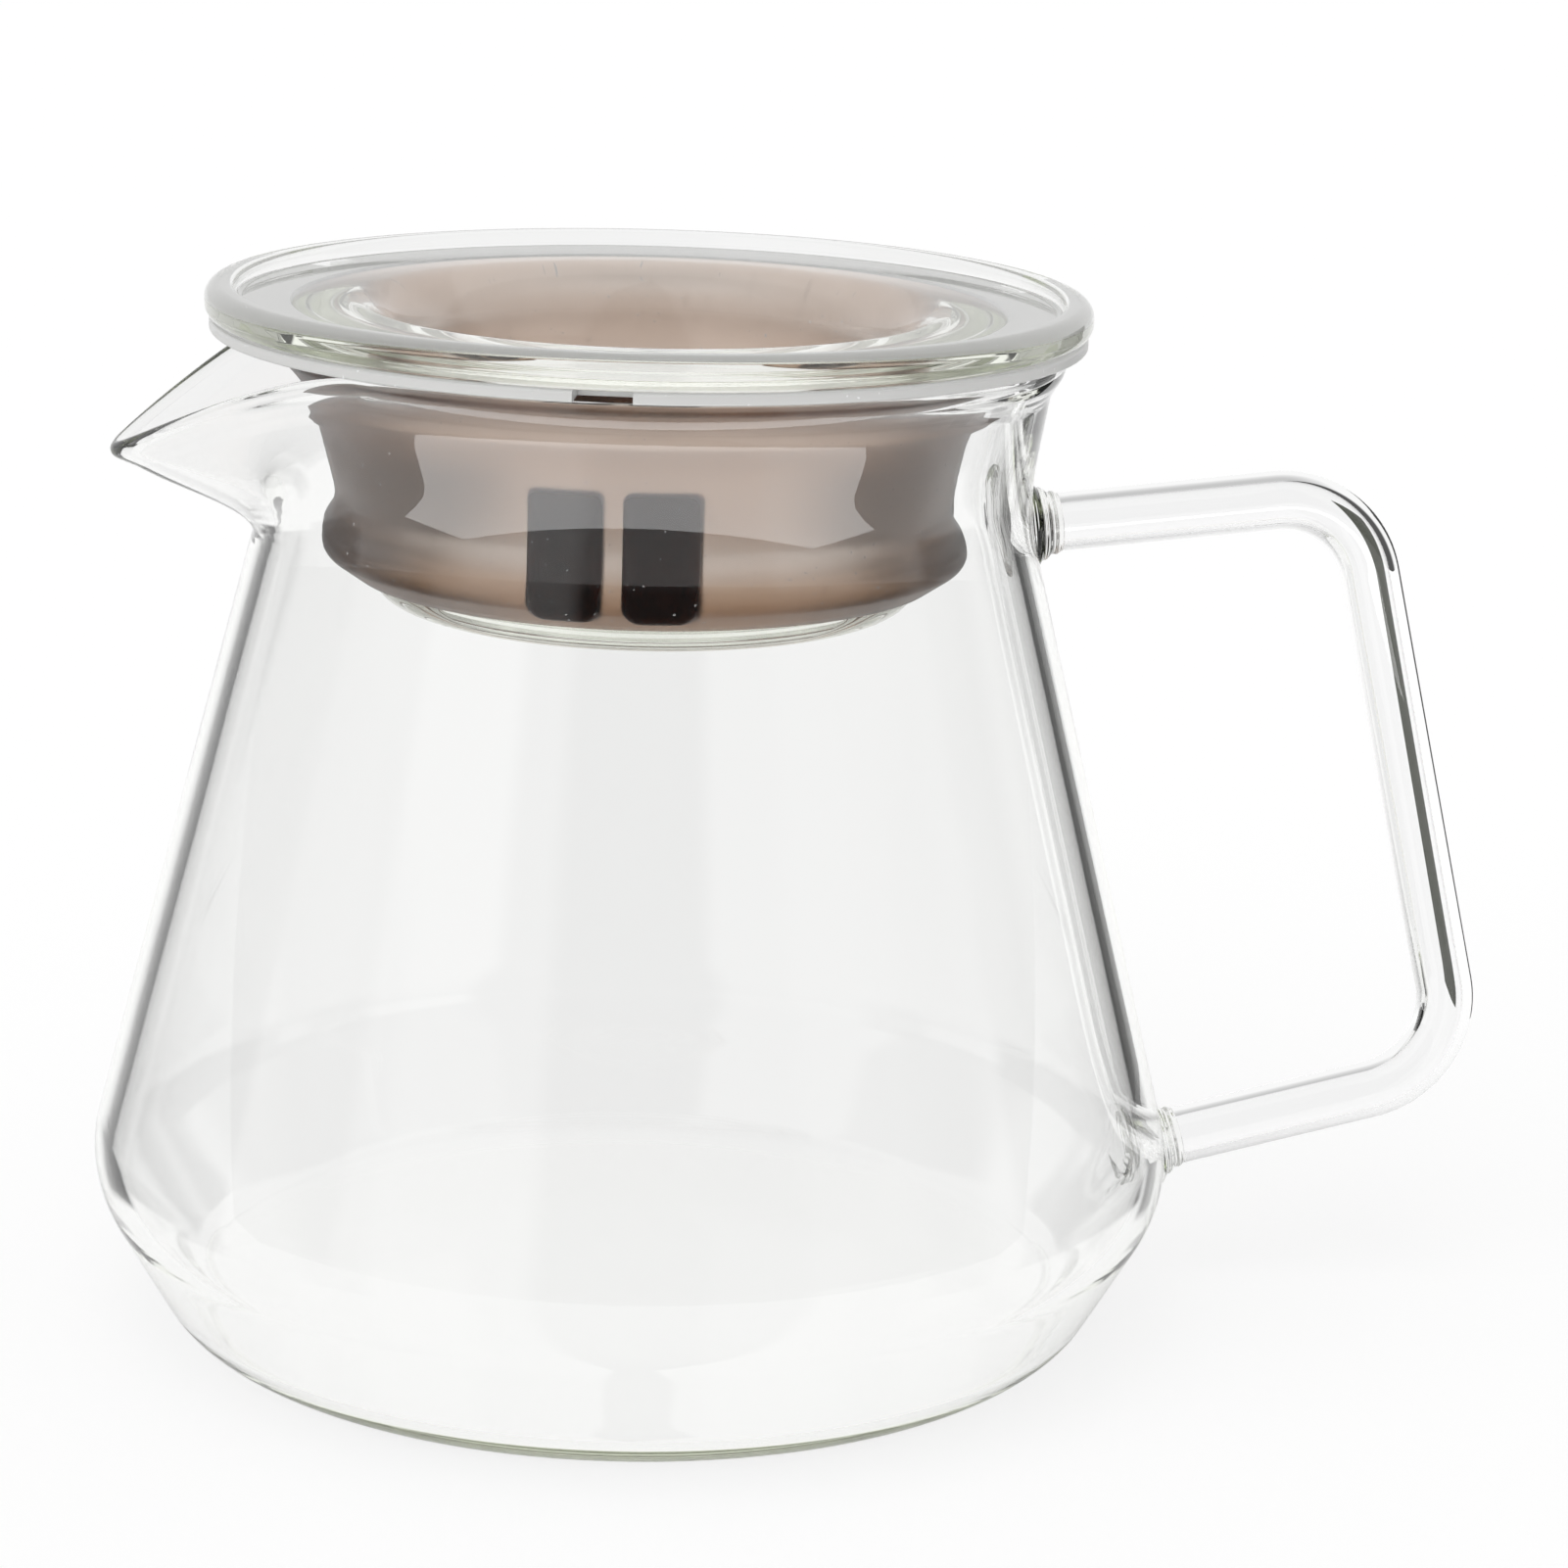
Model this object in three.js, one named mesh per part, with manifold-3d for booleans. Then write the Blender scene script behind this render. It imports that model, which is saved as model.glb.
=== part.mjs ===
// Glass coffee server: a conical body with a pulled spout, a bent rod handle fused on by two welds,
// and a loose glass lid with a deep well that wears a smoke-coloured silicone seal.
// Millimetres, +Z up. The origin is the centre of the flat foot. The spout points to -X, the handle to +X.
import * as THREE from 'three';
import { mergeVertices } from 'three/addons/utils/BufferGeometryUtils.js';
import Module from 'manifold-3d';

// Clearance between pieces that touch on the real object.
const FIT = 0.3;

// Body: a short cone up to the shoulder, a tall cone in to the neck, then a flared mouth.
// A corner is where two straight stretches would meet; its round takes the corner off.
const FOOT_RADIUS = 50.8;
const HEEL_ROUND = 7.4;
const SHOULDER_RADIUS = 60.9;
const SHOULDER_HEIGHT = 17.6;
const SHOULDER_ROUND = 12.8;
const NECK_RADIUS = 41.4;
const NECK_RISE = 75.4;
const NECK_ROUND = 28;
const FLARE_OUT = 2.1;
const FLARE_RISE = 12.8;
const LIP_OUT = 1.5;
const LIP_RISE = 4.4;
const LIP_ROUND = 3;
const LIP_STRAIGHT = 1.1;
const WALL = 2.4;
const BASE_THICKNESS = 3;

// Spout: the rim pulled out to a tip, and down with it.
const SPOUT_REACH = 12.7;
const SPOUT_DIP = 12.5;
const SPOUT_DEPTH = 22;
const SPOUT_TIP_ROUND = 4;
const SPOUT_EDGE_POWER = 0.8;
const SPOUT_ROW_STEP = 3.5;

// Handle: a solid glass rod, welded to the neck and to the shoulder.
const ROD_DIAMETER = 6.5;
const ROD_BEND = 10.7;
const UPPER_WELD_DROP = 20.9;
const TOP_BAR_LENGTH = 37.4;
const TOP_BAR_RISE = 5.7;
const LOWER_WELD_HEIGHT = 17;
const FOOT_BAR_LENGTH = 37.7;
const FOOT_BAR_RISE = 12.8;
const WELD_DIAMETER = 10.6;
const WELD_LENGTH = 3.5;
const WELD_RINGS = 3;
const WELD_GROOVE = 0.3;
const WELD_CREST = 0.6;

// Seal: a ring round the well, a thin washer under the lid's flange, and three pairs of lugs
// that bridge the waist between the ring's trumpet and its lower bead.
const LUG_CLEARANCE = 3.3;
const LUG_DEPTH = 5.4;
const LUG_WIDTH = 7.7;
const LUG_HEIGHT = 13.8;
const LUG_LIFT = 1.2;
const LUG_ROUND = 2;
const LUG_GAP = 2;
const LUG_PAIRS = 3;
const FIRST_PAIR_ANGLE = 17.5;
const WASHER_THICKNESS = 0.9;
const WASHER_OVERHANG = 1;
const VENT_WIDTH = 6;
const VENT_DEPTH = 5;
const SEAL_SETBACK = 3.3;
const SEAL_FOOT = 1.2;
const BEAD_THICKNESS = 5.7;
const BEAD_HEIGHT = 3.3;
const BEAD_ROUND = 2.5;
const WAIST_THICKNESS = 2.9;
const WAIST_HEIGHT = 7;
const WAIST_ROUND = 4;
const TRUMPET_THICKNESS = 5.4;
const TRUMPET_DROP = 7.9;
const TRUMPET_ROUND = 25;

// Lid: a flange with a raised round bead at its edge, and a deep well in the middle.
const LID_OVERHANG = 2.7;
const FLANGE_THICKNESS = 2.1;
const LID_BEAD_WIDTH = 3.2;
const LID_BEAD_HEIGHT = 3.8;
const LID_BEAD_ROUND = 1.6;
const WELL_DEPTH = 30.5;
const WELL_WALL = 3;
const WELL_FLOOR = 2.7;
const WELL_ROOT_ROUND = 9;
const WELL_MOUTH_ROUND = 5.4;
const WELL_CORNER_ROUND = 4;

// Fineness of the round surfaces.
const BODY_COLUMNS = 48;
const LIP_STEPS = 3;
const LID_COLUMNS = 40;
const WELD_COLUMNS = 20;
const ROD_SIDES = 12;
const ROD_STEPS = 48;
const CHORD_ERROR = 0.1;

// Places that follow from the sizes above.
const NECK_HEIGHT = SHOULDER_HEIGHT + NECK_RISE;
const LIP_ROOT_RADIUS = NECK_RADIUS + FLARE_OUT;
const LIP_ROOT_HEIGHT = NECK_HEIGHT + FLARE_RISE;
const RIM_RADIUS = LIP_ROOT_RADIUS + LIP_OUT;
const RIM_HEIGHT = LIP_ROOT_HEIGHT + LIP_RISE;
const LUG_RADIUS = NECK_RADIUS - WALL - LUG_CLEARANCE;
const SEAL_BORE = LUG_RADIUS - LUG_DEPTH;
const WELL_RADIUS = SEAL_BORE - FIT;
const WASHER_BOTTOM = RIM_HEIGHT + FIT;
const WASHER_TOP = WASHER_BOTTOM + WASHER_THICKNESS;
const FLANGE_BOTTOM = WASHER_TOP + FIT;
const FLANGE_TOP = FLANGE_BOTTOM + FLANGE_THICKNESS;
const WELL_BOTTOM = FLANGE_BOTTOM - WELL_DEPTH;
const SEAL_BOTTOM = WELL_BOTTOM + SEAL_SETBACK;
const LUG_BOTTOM = SEAL_BOTTOM + LUG_LIFT;

const wasm = await Module();
wasm.setup();

// Turns a list of corners [r, z, round] into points, with an arc at each round that fits its two sides.
function roundedOutline(corners) {
  const points = [];
  corners.forEach(([r, z, round = 0], i) => {
    const here = new THREE.Vector2(r, z);
    if (round === 0) {
      points.push(here);
      return;
    }
    const [back, ahead] = [corners.at(i - 1), corners[(i + 1) % corners.length]].map((corner) => {
      const side = new THREE.Vector2(corner[0], corner[1]).sub(here);
      return { direction: side.clone().normalize(), room: side.length() * (corner[2] ? 0.5 : 1) };
    });
    const half = 0.5 * Math.acos(THREE.MathUtils.clamp(back.direction.dot(ahead.direction), -1, 1));
    const cut = Math.min(round / Math.tan(half), back.room, ahead.room);
    const radius = cut * Math.tan(half);
    const centre = back.direction.clone().add(ahead.direction).setLength(cut / Math.cos(half)).add(here);
    const from = back.direction.clone().multiplyScalar(cut).add(here).sub(centre).angle();
    const sweep = (Math.PI - 2 * half) * Math.sign(ahead.direction.cross(back.direction));
    const steps = Math.ceil(Math.abs(sweep) / (2 * Math.acos(1 - CHORD_ERROR / radius)));
    for (let k = 0; k <= steps; k++) {
      const angle = from + (sweep * k) / steps;
      points.push(new THREE.Vector2(Math.cos(angle), Math.sin(angle)).multiplyScalar(radius).add(centre));
    }
  });
  return points;
}

// Revolves an outline about +Z. The outline runs anticlockwise in (r, z), so that faces point out.
function revolved(points, columns) {
  const geometry = new THREE.LatheGeometry(points, columns);
  return geometry.rotateX(Math.PI / 2);
}

// A ring's outline ends where it starts.
function closedLoop(points) {
  return [...points, points[0].clone()];
}

function toSolid(geometry) {
  const bare = geometry.clone();
  bare.deleteAttribute('normal');
  bare.deleteAttribute('uv');
  const welded = mergeVertices(bare);
  const all = welded.index.array;
  const triVerts = [];
  for (let i = 0; i < all.length; i += 3) {
    const [a, b, c] = all.slice(i, i + 3);
    if (a !== b && b !== c && c !== a) {
      triVerts.push(a, b, c);
    }
  }
  const mesh = new wasm.Mesh({
    numProp: 3,
    vertProperties: new Float32Array(welded.attributes.position.array),
    triVerts: new Uint32Array(triVerts),
  });
  return new wasm.Manifold(mesh);
}

function toGeometry(solid) {
  const mesh = solid.getMesh();
  const geometry = new THREE.BufferGeometry();
  geometry.setAttribute('position', new THREE.BufferAttribute(mesh.vertProperties, 3));
  geometry.setIndex(new THREE.BufferAttribute(mesh.triVerts, 1));
  geometry.computeVertexNormals();
  return geometry;
}

// The body's outer outline, from the middle of the foot to the start of the rounded lip.
const LIP_START = RIM_HEIGHT - WALL / 2;
const bodyOutline = roundedOutline([
  [0, 0],
  [FOOT_RADIUS, 0, HEEL_ROUND],
  [SHOULDER_RADIUS, SHOULDER_HEIGHT, SHOULDER_ROUND],
  [NECK_RADIUS, NECK_HEIGHT, NECK_ROUND],
  [LIP_ROOT_RADIUS, LIP_ROOT_HEIGHT, LIP_ROUND],
  [RIM_RADIUS, LIP_START - LIP_STRAIGHT, WALL + LIP_STRAIGHT],
  [RIM_RADIUS, LIP_START],
]);
const SPOUT_ROOT = RIM_HEIGHT - SPOUT_DEPTH;

// Adds rows in the long stretches of the neck, where the spout bends the wall.
function withSpoutRows(points) {
  const rows = [points[0]];
  for (let i = 1; i < points.length; i++) {
    const [low, high] = [points[i - 1], points[i]];
    const parts = low.y < SPOUT_ROOT ? 1 : Math.ceil(low.distanceTo(high) / SPOUT_ROW_STEP);
    for (let k = 1; k <= parts; k++) {
      rows.push(low.clone().lerp(high, k / parts));
    }
  }
  return rows;
}
const bodyRows = withSpoutRows(bodyOutline);

// Radius of the body's outside at a height above the heel.
function bodyRadiusAt(z) {
  const i = bodyOutline.findIndex((point) => point.y > z);
  const [low, high] = [bodyOutline[i - 1], bodyOutline[i]];
  return THREE.MathUtils.mapLinear(z, low.y, high.y, low.x, high.x);
}

// How far the spout pulls the rim out at an angle. Seen from above, its sides are
// straight lines that leave the round rim as tangents and meet in a rounded tip.
const TIP_BLUNT = SPOUT_TIP_ROUND / (RIM_RADIUS + SPOUT_REACH);
const SPOUT_HALF_ANGLE = Math.acos(RIM_RADIUS / (RIM_RADIUS + SPOUT_REACH)) + TIP_BLUNT;
function spoutPull(angle) {
  const fromTip = Math.PI - Math.acos(Math.cos(angle));
  const off = Math.hypot(fromTip, TIP_BLUNT);
  return off < SPOUT_HALF_ANGLE ? RIM_RADIUS / Math.cos(SPOUT_HALF_ANGLE - off) - RIM_RADIUS : 0;
}

// A point of the body's outer skin.
function skinPoint(angle, row) {
  const { x: r, y: z } = bodyRows[row];
  const pull = spoutPull(angle);
  const rise = THREE.MathUtils.clamp((z - SPOUT_ROOT) / (RIM_HEIGHT - SPOUT_ROOT), 0, 1);
  const out = r + pull * THREE.MathUtils.smoothstep(rise, 0, 1);
  const down = SPOUT_DIP * (pull / SPOUT_REACH) ** SPOUT_EDGE_POWER * rise;
  return new THREE.Vector3(out * Math.cos(angle), out * Math.sin(angle), z - down);
}

// Directions of the skin at a point: up along the wall, and outwards through it.
function skinDirections(angle, row) {
  const turn = 0.01;
  const above = skinPoint(angle, Math.min(row + 1, bodyRows.length - 1));
  const up = above.sub(skinPoint(angle, row - 1)).normalize();
  const around = skinPoint(angle + turn, row).sub(skinPoint(angle - turn, row)).normalize();
  return { up, outwards: around.cross(up).normalize() };
}

// One upright slice through the wall: up the outside, over the round lip and down the inside.
function wallSlice(angle) {
  const last = bodyRows.length - 1;
  const outside = [];
  const inside = [];
  for (let row = 1; row <= last; row++) {
    const point = skinPoint(angle, row);
    const inner = point.clone().addScaledVector(skinDirections(angle, row).outwards, -WALL);
    inner.z = Math.max(inner.z, BASE_THICKNESS);
    outside.push(point);
    inside.unshift(inner);
  }
  const { up, outwards } = skinDirections(angle, last);
  const middle = outside.at(-1).clone().lerp(inside[0], 0.5);
  const lip = [];
  for (let k = 1; k < LIP_STEPS; k++) {
    const tilt = (Math.PI * k) / LIP_STEPS;
    const point = middle.clone().addScaledVector(outwards, (WALL / 2) * Math.cos(tilt));
    lip.push(point.addScaledVector(up, (WALL / 2) * Math.sin(tilt)));
  }
  return [...outside, ...lip, ...inside];
}

function bodyGeometry() {
  const vertices = [new THREE.Vector3(0, 0, 0), new THREE.Vector3(0, 0, BASE_THICKNESS)];
  const slices = [];
  for (let column = 0; column < BODY_COLUMNS; column++) {
    const slice = wallSlice((2 * Math.PI * column) / BODY_COLUMNS);
    slices.push(slice.map((point) => vertices.push(point) - 1));
  }
  const triangles = [];
  slices.forEach((here, column) => {
    const next = slices[(column + 1) % BODY_COLUMNS];
    triangles.push(0, next[0], here[0]);
    for (let k = 0; k < here.length - 1; k++) {
      triangles.push(here[k], next[k], here[k + 1]);
      triangles.push(next[k], next[k + 1], here[k + 1]);
    }
    triangles.push(1, here.at(-1), next.at(-1));
  });
  const geometry = new THREE.BufferGeometry().setFromPoints(vertices);
  geometry.setIndex(triangles);
  geometry.computeVertexNormals();
  return geometry;
}

// The handle's centre line lies in the plane y = 0. Each end stands on the body's wall.
function wallPoint(z) {
  return new THREE.Vector3(bodyRadiusAt(z), 0, z);
}
function barDirection(rise) {
  const tilt = THREE.MathUtils.degToRad(rise);
  return new THREE.Vector3(Math.cos(tilt), 0, Math.sin(tilt));
}
const upperWeld = wallPoint(RIM_HEIGHT - UPPER_WELD_DROP);
const lowerWeld = wallPoint(LOWER_WELD_HEIGHT);
const upperBar = barDirection(TOP_BAR_RISE);
const lowerBar = barDirection(FOOT_BAR_RISE);
const upperCorner = upperWeld.clone().addScaledVector(upperBar, TOP_BAR_LENGTH);
const lowerCorner = lowerWeld.clone().addScaledVector(lowerBar, FOOT_BAR_LENGTH);

function handleGeometry() {
  const rodStart = WELD_LENGTH + FIT;
  const from = upperWeld.clone().addScaledVector(upperBar, rodStart);
  const to = lowerWeld.clone().addScaledVector(lowerBar, rodStart);
  const line = roundedOutline([
    [from.x, from.z],
    [upperCorner.x, upperCorner.z, ROD_BEND],
    [lowerCorner.x, lowerCorner.z, ROD_BEND],
    [to.x, to.z],
  ]);
  const path = new THREE.CurvePath();
  for (let i = 1; i < line.length; i++) {
    const ends = [line[i - 1], line[i]].map((point) => new THREE.Vector3(point.x, 0, point.y));
    path.add(new THREE.LineCurve3(...ends));
  }
  const section = new THREE.Shape().absarc(0, 0, ROD_DIAMETER / 2, 0, 2 * Math.PI);
  const options = { steps: ROD_STEPS, curveSegments: ROD_SIDES / 2, extrudePath: path };
  return new THREE.ExtrudeGeometry(section, options);
}

// The body's outside, grown by the fit clearance and closed on the axis: what a weld is cut by.
function bodyEnvelope() {
  const grown = bodyOutline.slice(1).map((point) => new THREE.Vector2(point.x + FIT, point.y));
  const foot = new THREE.Vector2(0, 0);
  const top = new THREE.Vector2(0, LIP_START);
  return toSolid(revolved([foot, ...grown, top], BODY_COLUMNS));
}

// A gather of glass that flares from the rod to the wall in a few soft rings.
function weldGeometry(place, direction) {
  const sunk = WELD_DIAMETER / 2;
  const wallRadius = WELD_DIAMETER / 2;
  const rodRadius = ROD_DIAMETER / 2;
  const outline = [new THREE.Vector2(0, -sunk), new THREE.Vector2(wallRadius, -sunk)];
  for (let ring = 0; ring < WELD_RINGS; ring++) {
    const radius = THREE.MathUtils.lerp(wallRadius, rodRadius + WELD_GROOVE, ring / WELD_RINGS);
    const start = (WELD_LENGTH * ring) / WELD_RINGS;
    const crest = start + (WELD_CREST * WELD_LENGTH) / WELD_RINGS;
    outline.push(new THREE.Vector2(radius - WELD_GROOVE, start), new THREE.Vector2(radius, crest));
  }
  outline.push(new THREE.Vector2(rodRadius, WELD_LENGTH), new THREE.Vector2(0, WELD_LENGTH));
  const boss = revolved(outline, WELD_COLUMNS);
  const upright = new THREE.Vector3(0, 0, 1);
  boss.applyQuaternion(new THREE.Quaternion().setFromUnitVectors(upright, direction));
  boss.translate(place.x, place.y, place.z);
  return toGeometry(toSolid(boss).subtract(bodyEnvelope()));
}

function lidGeometry() {
  const lidRadius = RIM_RADIUS + LID_OVERHANG;
  const beadTop = FLANGE_BOTTOM + LID_BEAD_HEIGHT;
  const beadInside = lidRadius - LID_BEAD_WIDTH;
  const wellInside = WELL_RADIUS - WELL_WALL;
  const wellFloor = WELL_BOTTOM + WELL_FLOOR;
  const outline = roundedOutline([
    [0, WELL_BOTTOM],
    [WELL_RADIUS, WELL_BOTTOM, WELL_CORNER_ROUND],
    [WELL_RADIUS, FLANGE_BOTTOM, WELL_ROOT_ROUND],
    [lidRadius, FLANGE_BOTTOM, LID_BEAD_ROUND],
    [lidRadius, beadTop, LID_BEAD_ROUND],
    [beadInside, beadTop, LID_BEAD_ROUND],
    [beadInside, FLANGE_TOP, LID_BEAD_ROUND],
    [wellInside, FLANGE_TOP, WELL_MOUTH_ROUND],
    [wellInside, wellFloor, WELL_CORNER_ROUND],
    [0, wellFloor],
  ]);
  return revolved(outline, LID_COLUMNS);
}

function sealRing() {
  const washerRadius = RIM_RADIUS + WASHER_OVERHANG;
  const trumpetTop = RIM_RADIUS - WALL - FIT;
  const outline = roundedOutline([
    [SEAL_BORE, SEAL_BOTTOM],
    [SEAL_BORE + SEAL_FOOT, SEAL_BOTTOM],
    [SEAL_BORE + BEAD_THICKNESS, SEAL_BOTTOM + BEAD_HEIGHT, BEAD_ROUND],
    [SEAL_BORE + WAIST_THICKNESS, SEAL_BOTTOM + WAIST_HEIGHT, WAIST_ROUND],
    [SEAL_BORE + TRUMPET_THICKNESS, WASHER_TOP - TRUMPET_DROP, TRUMPET_ROUND],
    [trumpetTop, WASHER_BOTTOM],
    [washerRadius, WASHER_BOTTOM],
    [washerRadius, WASHER_TOP],
    [SEAL_BORE, WASHER_TOP, WELL_ROOT_ROUND - FIT],
  ]);
  return toSolid(revolved(closedLoop(outline), LID_COLUMNS));
}

// A block that stands out along +X, with its lower corners rounded.
function lugGeometry(side) {
  const half = LUG_WIDTH / 2;
  const root = SEAL_BORE + SEAL_FOOT;
  const face = roundedOutline([
    [-half, 0, LUG_ROUND],
    [half, 0, LUG_ROUND],
    [half, LUG_HEIGHT],
    [-half, LUG_HEIGHT],
  ]);
  const options = { depth: LUG_RADIUS - root, bevelEnabled: false };
  const lug = new THREE.ExtrudeGeometry(new THREE.Shape(face), options);
  lug.rotateX(Math.PI / 2);
  lug.rotateZ(Math.PI / 2);
  return lug.translate(root, (side * (LUG_WIDTH + LUG_GAP)) / 2, LUG_BOTTOM);
}

// A gap through the edge of the washer, above the lugs.
function ventGeometry() {
  const tall = WASHER_THICKNESS + 2 * FIT;
  const deep = 2 * VENT_DEPTH;
  const vent = new THREE.BoxGeometry(deep, VENT_WIDTH, tall);
  return vent.translate(RIM_RADIUS + WASHER_OVERHANG, 0, WASHER_BOTTOM + WASHER_THICKNESS / 2);
}

// The round drum that gives the lugs their curved outer faces.
function lugDrum() {
  const drum = new THREE.CylinderGeometry(LUG_RADIUS, LUG_RADIUS, LUG_HEIGHT, LID_COLUMNS);
  drum.rotateX(Math.PI / 2);
  return toSolid(drum.translate(0, 0, LUG_BOTTOM + LUG_HEIGHT / 2));
}

function sealGeometry() {
  const drum = lugDrum();
  let seal = sealRing();
  for (let pair = 0; pair < LUG_PAIRS; pair++) {
    const angle = THREE.MathUtils.degToRad(FIRST_PAIR_ANGLE + (360 * pair) / LUG_PAIRS);
    for (const side of [-1, 1]) {
      seal = seal.add(toSolid(lugGeometry(side).rotateZ(angle)).intersect(drum));
    }
    seal = seal.subtract(toSolid(ventGeometry().rotateZ(angle)));
  }
  return toGeometry(seal);
}

const clearGlass = { color: 0xf2f5f0, roughness: 0.02, metalness: 0, transparent: true, opacity: 0.35 };
const smokeSilicone = { color: 0x6b625c, roughness: 0.35, metalness: 0, transparent: true, opacity: 0.85 };

function piece(name, geometry, finish) {
  const mesh = new THREE.Mesh(geometry, new THREE.MeshStandardMaterial(finish));
  mesh.name = name;
  return mesh;
}

const carafe = new THREE.Group();
carafe.add(
  piece('carafe_body', bodyGeometry(), clearGlass),
  piece('handle_rod', handleGeometry(), clearGlass),
  piece('handle_upper_weld', weldGeometry(upperWeld, upperBar), clearGlass),
  piece('handle_lower_weld', weldGeometry(lowerWeld, lowerBar), clearGlass),
);

const lid = new THREE.Group();
lid.add(
  piece('lid_glass', lidGeometry(), clearGlass),
  piece('lid_seal', sealGeometry(), smokeSilicone),
);

const server = new THREE.Group();
server.add(carafe, lid);

export default server;
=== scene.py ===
"""Looks for the glass coffee server: fused clear glass, a pressed glass lid and a smoke silicone seal.

Sizes are in millimetres, in the CAD frame: +Z up, the spout towards -X, the handle towards +X.
Angles are in degrees where they are named as sizes.
"""

import math

import bpy
import numpy as np
from mathutils import Matrix, Vector


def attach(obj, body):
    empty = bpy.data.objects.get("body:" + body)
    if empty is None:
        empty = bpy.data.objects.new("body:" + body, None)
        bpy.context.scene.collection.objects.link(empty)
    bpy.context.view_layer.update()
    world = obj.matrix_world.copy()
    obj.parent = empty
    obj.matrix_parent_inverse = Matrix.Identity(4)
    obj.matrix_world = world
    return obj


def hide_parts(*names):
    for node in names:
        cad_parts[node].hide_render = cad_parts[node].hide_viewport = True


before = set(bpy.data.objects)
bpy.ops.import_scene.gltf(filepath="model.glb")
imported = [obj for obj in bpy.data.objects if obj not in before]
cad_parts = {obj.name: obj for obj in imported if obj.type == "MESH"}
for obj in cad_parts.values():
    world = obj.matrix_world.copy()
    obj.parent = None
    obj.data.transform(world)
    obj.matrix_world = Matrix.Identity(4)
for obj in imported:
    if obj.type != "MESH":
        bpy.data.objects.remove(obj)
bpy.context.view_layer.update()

MM = 0.001
FULL_TURN = 360
RIGHT_ANGLE = 90

# Body: corners of the outer outline, each with its round. The wall thins from the neck to the lip.
FOOT_RADIUS = 50.8
HEEL_ROUND = 7.4
SHOULDER_RADIUS = 60.87
SHOULDER_HEIGHT = 17.6
SHOULDER_ROUND = 12.8
NECK_RADIUS = 41.4
NECK_HEIGHT = 93.0
NECK_ROUND = 28.0
LIP_ROOT_RADIUS = 43.5
LIP_ROOT_HEIGHT = 105.8
LIP_ROUND = 3.0
RIM_RADIUS = 45.0
RIM_HEIGHT = 110.2
LIP_STRAIGHT = 1.1
WALL = 2.4
LIP_WALL = 1.8
BASE_THICKNESS = 3.0
LIP_START = RIM_HEIGHT - LIP_WALL / 2

# Spout, pulled out of the rim. Its blunt tip and its half width are angles about the axis, in radians.
SPOUT_REACH = 12.7
SPOUT_DIP = 12.5
SPOUT_DEPTH = 22.0
SPOUT_TIP_ROUND = 4.0
SPOUT_EDGE_POWER = 0.8
SPOUT_ROOT = RIM_HEIGHT - SPOUT_DEPTH
SPOUT_TIP_RADIUS = RIM_RADIUS + SPOUT_REACH
TIP_BLUNT = SPOUT_TIP_ROUND / SPOUT_TIP_RADIUS
SPOUT_HALF_ANGLE = math.acos(RIM_RADIUS / SPOUT_TIP_RADIUS) + TIP_BLUNT

# Handle rod, and the two gathers of glass that hold it. A bar rises from the wall by an angle.
ROD_RADIUS = 3.25
ROD_BEND = 10.7
UPPER_WELD_DROP = 20.9
UPPER_WELD_HEIGHT = RIM_HEIGHT - UPPER_WELD_DROP
TOP_BAR_LENGTH = 37.4
TOP_BAR_RISE = 5.7
LOWER_WELD_HEIGHT = 17.0
FOOT_BAR_LENGTH = 37.4
FOOT_BAR_RISE = 12.8
WELD_RADIUS = 5.3
WELD_LENGTH = 3.5
WELD_SINK = 1.9
WELD_RINGS = 3
WELD_RIPPLE = 0.22
IMPRINT_RADIUS = 4.4
IMPRINT_WIDTH = 0.7
IMPRINT_HEIGHT = 0.35

# Lid glass: flange, raised bead and deep well.
LID_RADIUS = 47.7
FLANGE_BOTTOM = 111.7
FLANGE_TOP = 113.8
LID_BEAD_WIDTH = 3.2
LID_BEAD_TOP = 115.5
LID_BEAD_ROUND = 1.6
WELL_RADIUS = 30.0
WELL_INSIDE = 27.0
WELL_BOTTOM = 81.2
WELL_FLOOR = 83.9
WELL_ROOT_ROUND = 9.0
WELL_MOUTH_ROUND = 5.4
WELL_CORNER_ROUND = 4.0

# Ring of the silicone seal, from its foot up to the trumpet under the washer.
SEAL_BORE = 30.3
SEAL_BOTTOM = 84.5
SEAL_FOOT = 1.2
SEAL_FILLET = 8.1
BEAD_RADIUS = 36.0
BEAD_HEIGHT = 87.8
BEAD_ROUND = 2.5
WAIST_RADIUS = 33.2
WAIST_HEIGHT = 91.5
WAIST_ROUND = 4.0
TRUMPET_RADIUS = 35.7
TRUMPET_HEIGHT = 103.5
TRUMPET_ROUND = 25.0
TRUMPET_TOP = 42.3
TRUMPET_EDGE = 2.6

# Washer of the seal, pressed against the lid's flange by a skin's thickness, with its vents.
SKIN_GAP = 0.02
WASHER_BORE = 38.6
WASHER_RADIUS = 47.2
WASHER_BOTTOM = 110.5
WASHER_TOP = FLANGE_BOTTOM + SKIN_GAP
WASHER_ROUND = 0.3
VENT_WIDTH = 6.0
VENT_DEPTH = 5.0
VENT_MARGIN = 1.0

# Pairs of lugs round the seal.
LUG_PAIRS = 3
FIRST_PAIR_ANGLE = 17.5
LUG_ROOT = 31.5
LUG_RADIUS = 35.7
LUG_WIDTH = 7.7
LUG_GAP = 2.0
LUG_BOTTOM = 85.7
LUG_TOP = 99.5
LUG_ROUND = 2.0
LUG_TOP_ROUND = 1.0
LUG_EDGE = 1.6

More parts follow.
